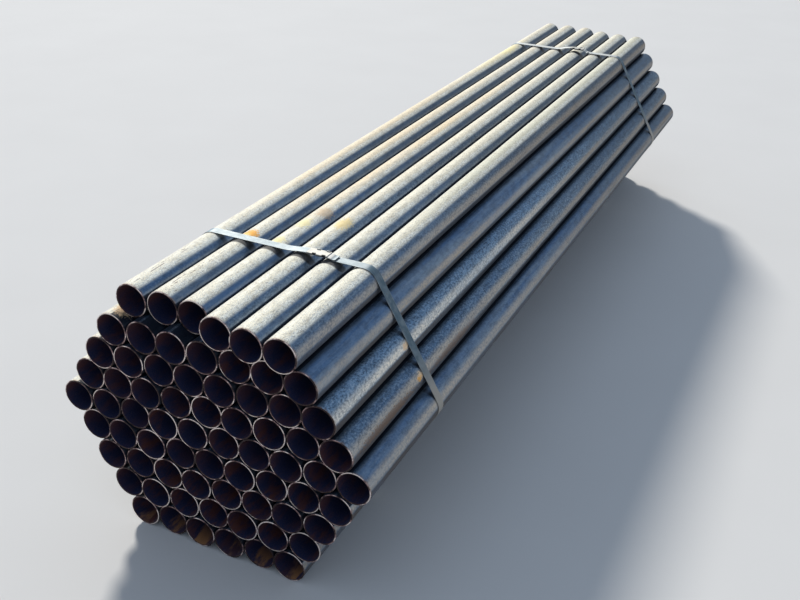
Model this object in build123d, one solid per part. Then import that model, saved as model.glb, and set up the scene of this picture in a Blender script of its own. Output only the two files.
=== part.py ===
from build123d import *
import math
import os

# A hexagonal bundle of equal steel pipes, held by two steel straps with crimped seals.
# The pipes lie along Y, with the front end of the bundle towards -Y and +Z up.
# The straps run under the bundle and stand on the plane z = 0.
# All sizes are in millimetres, and all angles that the geometry takes are in degrees.

# Pipes
PIPE_OD = 60.3
PIPE_WALL = 2.77
PIPE_LENGTH = 2200.0
BOTTOM_ROW_COUNT = 6
WIDEST_ROW_COUNT = 10
SIDE_GAP = 0.5
NEST_GAP = 0.1

# How far the front ends stand back from the bundle's nominal front.
# The top row was pushed about most. The rest leans a little and is otherwise nearly flush.
TOP_ROW_SETBACKS = (25.0, 28.0, 27.0, 0.0, -8.0, -10.0)
SETBACK_LEAN = 0.012
SETBACK_SCATTER = 2.0

# Straps
STRAP_WIDTH = 19.05
STRAP_THICKNESS = 0.8
STRAP_CLEARANCE = 0.1
FRONT_STRAP_FROM_FRONT = 266.0
BACK_STRAP_FROM_FRONT = 1899.0

# The lap, where the strap's outer end lies over its inner end
LAP_GAP = 0.1
INNER_TAIL = 16.0
OUTER_TAIL = 16.0
LAP_BEND_RADIUS = 30.0

# Seals, a folded sleeve round both ends of the strap
SEAL_WALL = 0.9
SEAL_FIT = 0.1
SEAL_LENGTH = 40.0
SEAL_SEAM = 2.5
FRONT_SEAL_X = 63.0
BACK_SEAL_X = 36.0

# How far the tensioning left each lap standing above the pipes
FRONT_LAP_LIFT = 2.5
BACK_LAP_LIFT = 6.0

# Crimps, where the edges of the seal and the strap are notched and bent up together
CRIMP_SPACING = 19.0
CRIMP_LENGTH = 7.0
CRIMP_DEPTH = 3.4
CRIMP_TAB_LENGTH = 6.0
CRIMP_BEND = 35.0

# Worked-out places
PIPE_RADIUS = PIPE_OD / 2
PITCH = PIPE_OD + SIDE_GAP
ROW_RISE = math.sqrt((PIPE_OD + NEST_GAP) ** 2 - (PITCH / 2) ** 2)
ROW_COUNTS = [
    *range(BOTTOM_ROW_COUNT, WIDEST_ROW_COUNT),
    *range(WIDEST_ROW_COUNT, BOTTOM_ROW_COUNT - 1, -1),
]
TOP_ROW = len(ROW_COUNTS) - 1
WIDEST_ROW = ROW_COUNTS.index(WIDEST_ROW_COUNT)
BOTTOM_ROW_Z = STRAP_THICKNESS + STRAP_CLEARANCE + PIPE_RADIUS
MIDDLE_Z = BOTTOM_ROW_Z + WIDEST_ROW * ROW_RISE
CREST_Z = BOTTOM_ROW_Z + TOP_ROW * ROW_RISE + PIPE_RADIUS
LOWEST_LAP_Z = CREST_Z + STRAP_CLEARANCE + SEAL_WALL + SEAL_FIT
LAP_HEIGHT = 2 * STRAP_THICKNESS + LAP_GAP


def pipe_centre(row, place):
    """The x and z of a pipe's axis, counting rows from the bottom and places from the left."""
    x = (place - (ROW_COUNTS[row] - 1) / 2) * PITCH
    return x, BOTTOM_ROW_Z + row * ROW_RISE


def setback(row, place):
    """How far a pipe's front end stands behind the bundle's nominal front."""
    if row == TOP_ROW:
        return TOP_ROW_SETBACKS[place]
    x, z = pipe_centre(row, place)
    lean = SETBACK_LEAN * (z - MIDDLE_Z - x)
    return lean + SETBACK_SCATTER * math.sin(1.9 * place + 2.7 * row)


ALL_SETBACKS = [setback(row, place) for row, count in enumerate(ROW_COUNTS) for place in range(count)]
# The nominal front, placed so that the whole bundle is centred on y = 0
FRONT_Y = -(min(ALL_SETBACKS) + max(ALL_SETBACKS) + PIPE_LENGTH) / 2


def pipe(row, place):
    """One pipe: a plain tube with square cut ends."""
    x, z = pipe_centre(row, place)
    front = FRONT_Y + setback(row, place)
    section = Circle(PIPE_RADIUS) - Circle(PIPE_RADIUS - PIPE_WALL)
    tube = extrude(Plane.XZ * section, -PIPE_LENGTH)
    return Pos(x, front, z) * tube


def pipe_row(row):
    """The pipes of one row, as separate solids side by side."""
    return Compound([pipe(row, place).solid() for place in range(ROW_COUNTS[row])])


def corner_pipe(row, last):
    """The circle that the strap bends round at one corner of the bundle."""
    x, z = pipe_centre(row, ROW_COUNTS[row] - 1 if last else 0)
    return x, z, PIPE_RADIUS + STRAP_CLEARANCE


def lap_bend(x, z):
    """A circle with its top at a point of the lap, where the strap bends very slightly."""
    return x, z - LAP_BEND_RADIUS, LAP_BEND_RADIUS


def strap_route(seal_x, lap_z):
    """The circles that the strap passes round, clockwise from its inner end to its outer end."""
    left = seal_x - SEAL_LENGTH / 2 - INNER_TAIL
    right = seal_x + SEAL_LENGTH / 2 + OUTER_TAIL
    outer_z = lap_z + STRAP_THICKNESS + LAP_GAP
    return [
        lap_bend(left, lap_z),
        lap_bend(right, lap_z),
        corner_pipe(TOP_ROW, True),
        corner_pipe(WIDEST_ROW, True),
        corner_pipe(0, True),
        corner_pipe(0, False),
        corner_pipe(WIDEST_ROW, False),
        corner_pipe(TOP_ROW, False),
        lap_bend(left, outer_z),
        lap_bend(right, outer_z),
    ]


def outward_angle(start, end):
    """The direction, square to the run between two circles, that points out of the bundle."""
    run_x = end[0] - start[0]
    run_z = end[1] - start[1]
    heading = math.atan2(run_z, run_x)
    narrowing = math.asin((start[2] - end[2]) / math.hypot(run_x, run_z))
    return math.degrees(heading - narrowing) + 90


def point_on(circle, angle, lift):
    """The point of a circle in one direction, lifted off it."""
    x, z, radius = circle
    reach = radius + lift
    return x + reach * math.cos(math.radians(angle)), z + reach * math.sin(math.radians(angle))


def taut_line(route, lift):
    """The edges of a line pulled tight round the route, lifted off its circles."""
    angles = [outward_angle(start, end) for start, end in zip(route, route[1:])]
    edges = []
    for index, angle in enumerate(angles):
        run = Line(point_on(route[index], angle, lift), point_on(route[index + 1], angle, lift))
        edges.append(run)
        if index + 1 < len(angles):
            x, z, radius = route[index + 1]
            turn = (angle - angles[index + 1]) % 360
            edges.append(CenterArc((x, z), radius + lift, angle, -turn))
    return edges


def strap_strip(seal_x, lap_z):
    """The strap before it is crimped: one flat strip round the bundle, lapped on top."""
    route = strap_route(seal_x, lap_z)
    inside = taut_line(route, 0)
    outside = taut_line(route, STRAP_THICKNESS)
    ends = [Line(inside[0] @ 0, outside[0] @ 0), Line(inside[-1] @ 1, outside[-1] @ 1)]
    outline = make_face([*inside, *outside, *ends])
    return extrude(Plane.XZ * outline, STRAP_WIDTH / 2, both=True)


def crimp_places():
    """The middle of each crimp along the seal, with the side of the strap that it is on."""
    half = CRIMP_SPACING / 2
    return [(along, side) for along in (-half, half) for side in (-1, 1)]


# The seal's own frame has X along the strap, and its origin under the middle of the lap.
SEAL_HALF_WIDTH = STRAP_WIDTH / 2 + SEAL_FIT + SEAL_WALL
CRIMP_ROOT = SEAL_HALF_WIDTH - CRIMP_DEPTH


def crimp_notches():
    """The pieces that the crimps take out of the edges of both the seal and the strap."""
    height = 4 * LAP_HEIGHT
    notch = Box(CRIMP_LENGTH, 2 * CRIMP_DEPTH, height)
    middle = CRIMP_ROOT + CRIMP_DEPTH
    return [Pos(along, side * middle, LAP_HEIGHT / 2) * notch for along, side in crimp_places()]


def crimp_tabs():
    """The notched edges, bent up about the root of each notch."""
    thickness = LAP_HEIGHT + 2 * SEAL_FIT + 2 * SEAL_WALL
    fold_z = LAP_HEIGHT + SEAL_FIT
    tabs = []
    for along, side in crimp_places():
        tab = Box(CRIMP_TAB_LENGTH, CRIMP_DEPTH, thickness)
        flat = Pos(0, side * CRIMP_DEPTH / 2, SEAL_WALL - thickness / 2) * tab
        bent = Rot(side * CRIMP_BEND, 0, 0) * flat
        tabs.append(Pos(along, side * CRIMP_ROOT, fold_z) * bent)
    return tabs


def seal():
    """A sleeve folded round the lapped ends, open along a seam below, with two pairs of crimps."""
    opening = Rectangle(STRAP_WIDTH + 2 * SEAL_FIT, LAP_HEIGHT + 2 * SEAL_FIT)
    seam = Pos(0, -LAP_HEIGHT) * Rectangle(SEAL_SEAM, 2 * LAP_HEIGHT)
    section = offset(opening, SEAL_WALL) - opening - seam
    sleeve = extrude(Plane.YZ * section, SEAL_LENGTH / 2, both=True)
    body = Pos(0, 0, LAP_HEIGHT / 2) * sleeve
    for notch in crimp_notches():
        body -= notch
    for tab in crimp_tabs():
        body += tab
    return body


def strap_and_seal(from_front, seal_x, lift):
    """One strap with its seal, at its place along the bundle."""
    lap_z = LOWEST_LAP_Z + lift
    lap = Pos(seal_x, 0, lap_z)
    strap = strap_strip(seal_x, lap_z)
    for notch in crimp_notches():
        strap -= lap * notch
    place = Pos(0, FRONT_Y + from_front, 0)
    return place * strap, place * lap * seal()


def main():
    os.makedirs("parts", exist_ok=True)
    for row in range(len(ROW_COUNTS)):
        export_step(pipe_row(row), f"parts/pipe_row_{row + 1}.step")
    front_strap, front_seal = strap_and_seal(FRONT_STRAP_FROM_FRONT, FRONT_SEAL_X, FRONT_LAP_LIFT)
    export_step(front_strap, "parts/strap_front.step")
    export_step(front_seal, "parts/seal_front.step")
    back_strap, back_seal = strap_and_seal(BACK_STRAP_FROM_FRONT, BACK_SEAL_X, BACK_LAP_LIFT)
    export_step(back_strap, "parts/strap_back.step")
    export_step(back_seal, "parts/seal_back.step")


main()
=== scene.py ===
import math
import random

import bmesh
import bpy
from mathutils import Matrix, Vector, noise


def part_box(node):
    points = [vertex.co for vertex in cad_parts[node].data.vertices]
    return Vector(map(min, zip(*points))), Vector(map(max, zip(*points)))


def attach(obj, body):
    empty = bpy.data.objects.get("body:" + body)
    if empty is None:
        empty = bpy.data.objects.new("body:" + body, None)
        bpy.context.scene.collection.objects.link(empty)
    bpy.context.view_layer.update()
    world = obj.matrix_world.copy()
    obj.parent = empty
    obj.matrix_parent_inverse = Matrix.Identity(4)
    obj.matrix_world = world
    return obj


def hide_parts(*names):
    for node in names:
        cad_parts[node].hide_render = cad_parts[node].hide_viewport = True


# A bundle of steel pipes, tied with two steel straps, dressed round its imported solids.
# The pipes lie along Y, with the front end of the bundle towards -Y and +Z up.
# All sizes are in metres. The pipes, straps and seals take their places from the frame.

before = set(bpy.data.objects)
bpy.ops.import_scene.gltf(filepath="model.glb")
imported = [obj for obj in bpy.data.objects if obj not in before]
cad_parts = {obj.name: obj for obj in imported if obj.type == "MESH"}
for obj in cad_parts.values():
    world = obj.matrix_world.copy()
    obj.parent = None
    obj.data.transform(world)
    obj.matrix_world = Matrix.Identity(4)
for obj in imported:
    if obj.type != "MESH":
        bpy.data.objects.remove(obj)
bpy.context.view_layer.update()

# Pipes
PIPE_RADIUS = 0.03015
PIPE_WALL = 0.00277
PIPE_PITCH = 0.0608
BORE_RADIUS = PIPE_RADIUS - PIPE_WALL
ROW_NODES = [f"pipe_row_{number}" for number in range(1, 10)]
TOP_ROW = len(ROW_NODES) - 1

# The rings of points that make up a pipe: how many points each has, and where they stand along it
PIPE_SIDES = 64
OUTER_STEP = 0.06
HIDDEN_STEP = 0.4
END_ZONE = 0.02
BORE_STOPS = (0.012, 0.05, 0.15, 0.4)

# How the ends are rounded and burred, and how uneven the wall is
EDGE_ROUND = 0.0005
EDGE_CUT = 0.3 * EDGE_ROUND
EDGE_SHOULDER = 4 * EDGE_ROUND
BURR = 0.00035
RELIEF = 0.00008

# Straps
STRAP_THICKNESS = 0.0008
STRAP_CLEARANCE = 0.0001
LAP_GAP = 0.0001
LAP_HEIGHT = 2 * STRAP_THICKNESS + LAP_GAP
LAP_BEND_RADIUS = 0.03
SHEET_EDGE = 0.00014
EDGE_LANE = 0.0004
ARC_STEP = math.radians(4)
RUN_STEP = 0.012
LAP_STEP = 0.002

# How near a cut another line of the lap's grid may lie, as a share of the lap
LAP_CUT_GAP = 0.01

# The length of the strap's tails, and how far the outer one's end stands up and lies off to one side
TAIL = 0.016
TAIL_RISE = 0.0016
BACK_TAIL_DRIFT = -0.008

# How far inside the seal the bare part of the tail begins, and how pale each run over the top is, as
# bare metal and painted sunlight
BARED_TUCK = 0.001
FRONT_TOP_BARED_AND_LIT = 0.27
BACK_TOP_BARED_AND_LIT = 0.55

# How far beside the seal the strap takes to bend down onto the pipes, and to step up onto its inner end
SETTLING_LEFT = 0.045
SETTLING_RIGHT = 0.013
STEP_UP = 0.008

# How upward the strap faces where it counts as lying over the top
OVER_TOP = 0.9

# Seals
SEAL_WALL = 0.0009
SEAL_FIT = 0.0001
SEAL_LENGTH = 0.040
SEAL_SEAM = 0.0025
SEAL_CORNER = 0.0007
SEAL_LANE = 0.0045
SEAL_STEP = 0.002
SEAL_CUT_GAP = 0.0006
SEAL_FLARE = 0.00025
FLARE_REACH = 0.003

# How dark the painted shade is on the seal's crimps and its other edges where they turn under
CRIMP_SHADE_SHARE = 0.97
FOLD_SHADE_SHARE = 0.5

# Crimps
CRIMP_SPACING = 0.019
CRIMP_LENGTH = 0.007
CRIMP_DEPTH = 0.0034
CRIMP_TAB_LENGTH = 0.006
CRIMP_BEND = math.radians(66)
CRIMP_BEND_RADIUS = 0.0010
CRIMP_ROOT = 0.007125
FRONT_CRIMP_SHIFT = 0.004

# How much two lengths may differ and still count as equal
HAIR = 1e-6

# The camera, fitted to the pipe ends
CAMERA_PLACE = Vector((0.8360, -2.1755, 1.2179))
CAMERA_TURN = math.radians(24.842)
CAMERA_DIP = math.radians(28.184)
CAMERA_ROLL = math.radians(1.702)
CAMERA_LENS = 44.305
CAMERA_SENSOR = 36.0

# The floor and the light
FLOOR_DARK = (0.68, 0.67, 0.655)
FLOOR_PALE = (0.72, 0.71, 0.695)
FLOOR_REACH = 14.0
FLOOR_DROP = 0.0004
KEY_STRENGTH = 3.85
KEY_SPREAD = math.radians(8)
KEY_COLOUR = (1.0, 0.96, 0.89)
KEY_FROM = Vector((-1.3, 1.45, 1.15))
SKY_STRENGTH = 0.60
SKY_LOW = (0.80, 0.82, 0.84)
SKY_HIGH = (0.50, 0.62, 0.80)
SKY_TURN = 0.6

# How far the patterns of one pipe can lie from those of another, in metres
PATTERN_SHIFT = (31.0, 17.0, 47.0)

random.seed(70)


class Finish:
    """A procedural material, with short names for the nodes that it is made of."""

    def __init__(self, name, **sockets):
        self.material = bpy.data.materials.new(name)
        self.material.use_nodes = True
        self.tree = self.material.node_tree
        self.shader = self.tree.nodes["Principled BSDF"]
        self.coords = self.tree.nodes.new("ShaderNodeTexCoord").outputs["Object"]
        self.normal = self.tree.nodes.new("ShaderNodeNewGeometry").outputs["Normal"]
        self.up = self.node("SeparateXYZ", {0: self.normal}).outputs["Z"]
        for name, value in sockets.items():
            self.give(name.replace("_", " ").capitalize(), value)

    def node(self, kind, sockets, **settings):
        made = self.tree.nodes.new("ShaderNode" + kind)
        for name, value in settings.items():
            setattr(made, name, value)
        for key, value in sockets.items():
            self.link(made.inputs[key], value)
        return made

    def link(self, socket, value):
        if isinstance(value, bpy.types.NodeSocket):
            self.tree.links.new(value, socket)
        elif socket.type == "RGBA":
            socket.default_value = (*value, 1)
        else:
            socket.default_value = value

    def give(self, name, value):
        self.link(self.shader.inputs[name], value)

    def value(self, name):
        """A value that the mesh carries at each of its points."""
        return self.node("Attribute", {}, attribute_name=name).outputs["Fac"]

    def facing(self, direction):
        """One where the surface faces a direction, and minus one where it faces away."""
        made = self.node("VectorMath", {0: self.normal, 1: direction}, operation="DOT_PRODUCT")
        return made.outputs["Value"]

    def stretch(self, x, y, z, vector=None):
        scale = self.node("VectorMath", {0: vector or self.coords, 1: (x, y, z)}, operation="MULTIPLY")
        return scale.outputs[0]

    def shift(self, vector, amount):
        """Moves a pattern along by a different amount on each pipe."""
        offset = self.node("VectorMath", {0: PATTERN_SHIFT, 3: amount}, operation="SCALE")
        return self.node("VectorMath", {0: vector, 1: offset.outputs[0]}, operation="ADD").outputs[0]

    def noise(self, vector, scale=1.0, detail=3.0, rough=0.5):
        sockets = {"Vector": vector, "Scale": scale, "Detail": detail, "Roughness": rough}
        return self.node("TexNoise", sockets).outputs["Fac"]

    def band(self, value, low, high, start=0.0, end=1.0):
        """Smoothly from start, at low, to end, at high."""
        sockets = {"Value": value, "From Min": low, "From Max": high, "To Min": start, "To Max": end}
        return self.node("MapRange", sockets, interpolation_type="SMOOTHSTEP").outputs["Result"]

    def maths(self, operation, first, second=0.0):
        return self.node("Math", {0: first, 1: second}, operation=operation).outputs[0]

    def times(self, *values):
        product = values[0]
        for value in values[1:]:
            product = self.maths("MULTIPLY", product, value)
        return product

    def most(self, first, second):
        return self.maths("MAXIMUM", first, second)

    def mix(self, first, second, *shares):
        """The second colour over the first, as strongly as all the shares together let it."""
        made = self.node("Mix", {"Factor": self.times(*shares), 6: first, 7: second}, data_type="RGBA")
        return made.outputs[2]

    def cover(self, colour, *layers):
        """A colour under layers, each given as its own colour and its shares."""
        for layer in layers:
            colour = self.mix(colour, *layer)
        return colour

    def bump(self, height, depth, below=None):
        """Relief of a real depth in metres, laid over another relief."""
        sockets = {"Strength": 1.0, "Distance": depth, "Height": height}
        if below:
            sockets["Normal"] = below
        return self.node("Bump", sockets).outputs["Normal"]

    def wear(self, colour, rough, relief):
        """The material, once its colour, its roughness and its relief are given."""
        self.give("Base Color", colour)
        self.give("Roughness", rough)
        self.give("Normal", relief)
        return self.material

    def near(self, place, reach, along):
        """One at a place, falling to nothing at the reach, which is longer along the pipe."""
        offset = self.node("VectorMath", {0: self.coords, 1: place}, operation="SUBTRACT").outputs[0]
        squeezed = self.stretch(1, 1 / along, 1, offset)
        distance = self.node("VectorMath", {0: squeezed}, operation="LENGTH").outputs["Value"]
        return self.band(distance, 0.0, reach, 1.0, 0.0)


# Pipe steel
SCALE_DARK = (0.040, 0.052, 0.072)
# Painted reflection: the scale's own blue-grey is made bluer to stand in for blue sky reflected in it
SCALE_BLUE_AND_SKY_REFLECTION = (0.105, 0.210, 0.385)
SCALE_GREY = (0.285, 0.375, 0.475)
SCALE_LIGHT = (0.25, 0.42, 0.61)
SCALE_PALE = (0.68, 0.76, 0.80)
SCALE_FAR = (0.045, 0.110, 0.180)
SLATE = (0.112, 0.148, 0.190)
# Painted shade: near black where a pipe meets its neighbours, standing in for the shade between them
PAINTED_CREVICE_SHADE = (0.015, 0.018, 0.032)
# Painted sunlight: the crest's pale colour is partly bleaching and partly light painted onto the tops
BLEACHED_AND_SUNLIT = (0.82, 0.79, 0.68)
BLEACHED_WARM = (0.80, 0.66, 0.44)
BLEACHED_DULL = (0.695, 0.685, 0.565)
# Painted highlight: the part of the crest that faces the light most is painted near white
PAINTED_CREST_HIGHLIGHT = (0.93, 0.94, 0.88)
BLEACHED_PATCH = (0.64, 0.605, 0.49)
SPECKLE = (0.36, 0.32, 0.26)
# Dust, which also stands in for a painted reflection of the lit ground on the lower flank
DUST_AND_GROUND_REFLECTION = (0.44, 0.365, 0.275)
BROWN_DUST_AND_REFLECTION = (0.25, 0.185, 0.125)
PALE_DUST_AND_REFLECTION = (0.98, 0.92, 0.80)
EARTH = (0.100, 0.088, 0.082)
# Painted shade: the undersides darkened where shade falls below the rows
PAINTED_UNDERSIDE_SHADE = (0.010, 0.018, 0.032)
# Painted shadow: the dark line that the straps cast on the pipes
PAINTED_STRAP_SHADOW = (0.045, 0.045, 0.050)
STAIN = (0.36, 0.22, 0.14)
RUST = (0.88, 0.46, 0.085)
RUST_PALE = (0.84, 0.66, 0.27)
YELLOWED = (0.86, 0.77, 0.40)
RUST_TAN = (0.62, 0.45, 0.27)
RUBBED = (0.92, 0.66, 0.40)
OLD_RUST = (0.21, 0.135, 0.090)
SCUFF = (0.20, 0.145, 0.12)

# Sawn ends and bores
RUSTY_GLOSS = 0.25
CUT_RUSTED = (0.024, 0.012, 0.014)
CUT_TAN = (0.44, 0.28, 0.275)
# Rubbed bright metal, which also stands in for painted highlights on the rims
CUT_RUBBED_AND_GLINT = (1.0, 0.86, 0.79)
CUT_OUTER_EDGE = (0.035, 0.022, 0.024)
CUT_GRIT = (0.12, 0.07, 0.055)
# Painted light in the bores: the roof is rust painted warm as if lit by bounce from the ground, the
# floor blue-black as if lit by blue sky
BORE_ROOF_RUST_AND_BOUNCE = (0.082, 0.034, 0.046)
BORE_FLOOR_PAINTED_SKYLIGHT = (0.018, 0.026, 0.080)
BORE_RUST = (0.120, 0.042, 0.036)
BORE_MOUTH = (0.070, 0.046, 0.050)
BORE_EARTH = (0.34, 0.165, 0.075)

# How far from a pipe's end its rim is stained, its mouth is gritty and earth lies in it
RIM_REACH = 0.006
MOUTH_REACH = 0.11
EARTH_REACH = (0.07, 0.01)

# Strapping and seals
STRAP_BLUED = (0.130, 0.200, 0.250)
STRAP_DULLED = (0.22, 0.285, 0.33)
STRAP_RUBBED = (0.56, 0.58, 0.575)
# Bare metal, which over the top also stands in for painted sunlight
STRAP_BARED_AND_LIT = (0.74, 0.73, 0.69)
STRAP_DIRT = (0.19, 0.17, 0.15)
# Dust, which also stands in for a painted reflection of lit ground on the strap's lower runs
STRAP_DUST_AND_REFLECTION = (0.50, 0.475, 0.43)
ZINC_DARK = (0.44, 0.43, 0.395)
ZINC_PALE = (0.56, 0.55, 0.505)
ZINC_SCRATCH = (0.36, 0.34, 0.31)
# Painted shade on the seal's folds and bent-up tabs
ZINC_PAINTED_SHADE = (0.018, 0.017, 0.018)

# Between which heights the straps get dusty and take a painted reflection of lit ground, and the way
# that the seal's edges with painted shade face
STRAP_DUST_AND_REFLECTION_HEIGHTS = (0.34, 0.26)
UNDER_FRONT = Vector((0, -0.94, -0.34))

# How finely each pattern repeats, in features a metre across, along and up
STREAKS_PER_METRE = (70, 2.4, 70)
CLOUD_PER_METRE = (11, 3, 11)
MOTTLE_PER_METRE = (95, 40, 95)
GRAIN_PER_METRE = (290, 190, 290)
FINE_GRAIN_PER_METRE = (700, 420, 700)
SPECKLE_PER_METRE = (330, 150, 330)
BROWN_PER_METRE = (130, 6, 130)
SCUFFS_PER_METRE = (25, 85, 25)
SAW_MARKS_PER_METRE = (2600, 2600, 160)
BORE_CLOUD_PER_METRE = (45, 14, 45)
STRAP_LINES_PER_METRE = (60, 1500, 60)
SCRATCHES_PER_METRE = (2200, 220, 900)

# How deep the relief of each pattern is, in metres
GRAIN_RELIEF = 0.00025
FINE_GRAIN_RELIEF = 0.00010
SAW_RELIEF = 0.00006
BORE_RELIEF = 0.0003
SHEET_RELIEF = 0.00004

# Between which places along the bundle each change of the skin comes in, from none to all
TOWARDS_FRONT = (0.35, -0.70)
TOWARDS_BACK = (-0.35, 0.75)
SLATE_COMES = (-0.75, -0.10)
DUST_AND_REFLECTION_SINKS = (-0.75, 0.10)
UNDERSIDE_SHADE_COMES = (-0.92, -0.40)
STAINS_COME = (-0.82, -0.60)
STAINS_FADE = (0.60, -0.10)
DULLING_COMES = (-0.95, -0.30)
SCUFFS_COME = (-1.10, -1.05)
SCUFFS_FADE = (-0.86, -0.98)

# Between which slopes each band of the skin comes in: one faces up, minus one faces down
DUST_AND_REFLECTION_TOP = (0.66, 0.34)
DUST_AND_REFLECTION_FOOT = (-0.10, 0.14)
EARTH_TOP = (0.06, -0.14)
EARTH_FOOT = (-0.95, -0.55)
UNDERSIDE_SHADE_TOP = (0.04, -0.16)

# The crest, bleached and also painted as sunlit by a light from the left, which faces a little to the
# left, and the faint lines scuffed along it
SUNNY_SIDE = Vector((-0.17, 0.0, 0.985)).normalized()
CREST_STARTS = (0.64, 0.78)
# Where the painted highlight lies on the crest
CREST_HIGHLIGHT = (0.96, 0.84)
SCUFF_LINES = (97, 87)
SCUFF_WIDTH = (0.060, 0.015)

# How strongly each layer covers what is under it, where it is strongest
LIGHT_SHARE = 0.6
DARK_SHARE = 0.35
FAR_SHARE = 0.62
SLATE_SHARE = 0.68
MOTTLE_SHARE = 0.30
BROWN_SHARE = 0.6
PALE_LEAST = 0.22
CREST_HIGHLIGHT_SHARE = 0.85
PATCH_SHARE = 0.40
SPECKLE_SHARE = 0.66
SCUFF_SHARE = 0.85
CREVICE_SHADE_SHARE = 0.92
RIM_SHARE = 0.7

# How metallic and how rough the clean scale is, and what covers it
CLEAN_METAL = 0.90
DULL_METAL = 0.30
CLEAN_ROUGH = 0.40
DULL_ROUGH = 0.72
BLEACHED_ROUGH = 0.84
SHELTERED_ROUGH = 0.85

# Rust stains, as place, reach, stretch along the pipe, strength and colour
RUST_SPOTS = (
    ((-0.0912, -0.822, 0.476), 0.024, 1.1, 1.0, RUST),
    ((-0.0950, -0.835, 0.474), 0.018, 1.3, 0.8, RUST_PALE),
    ((-0.0330, -0.822, 0.476), 0.020, 1.2, 0.75, YELLOWED),
    ((-0.0310, -0.735, 0.476), 0.022, 1.5, 0.65, YELLOWED),
    ((-0.0220, -0.672, 0.474), 0.024, 1.6, 0.6, RUST_TAN),
    ((0.0340, -0.702, 0.476), 0.024, 1.8, 0.65, RUST_PALE),
    ((-0.1530, 0.700, 0.476), 0.024, 4.0, 0.55, YELLOWED),
    ((-0.1720, -1.078, 0.424), 0.027, 1.1, 0.8, RUST_TAN),
    ((0.2405, -0.861, 0.3560), 0.011, 1.5, 0.85, RUBBED),
    ((0.2700, -0.861, 0.3060), 0.011, 1.6, 0.85, RUBBED),
    ((0.2715, -0.866, 0.3020), 0.008, 1.6, 0.8, RUST),
    ((0.2731, -0.990, 0.2962), 0.014, 12.0, 0.85, OLD_RUST),
    ((0.2731, -0.720, 0.2962), 0.012, 14.0, 0.70, OLD_RUST),
    ((-0.1520, 0.620, 0.480), 0.030, 12.0, 0.25, YELLOWED),
)

# The painted shadow before each strap, a dark line on the pipes, which is wider where the strap's lap
# stands off the pipes
STRAP_SHADOW_REACH = 0.006
STRAP_SHADOW_FADE = 0.001
STRAP_SHADOW_UNDER = (0.012, 0.004)
LAP_SHADOW_WIDTH = 0.009
LAP_SPAN = (0.128, 0.112)
LAP_SLOPE = (0.3, 0.8)
STRAP_SHADOW_SHARE = (0.55, 0.88)


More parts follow.
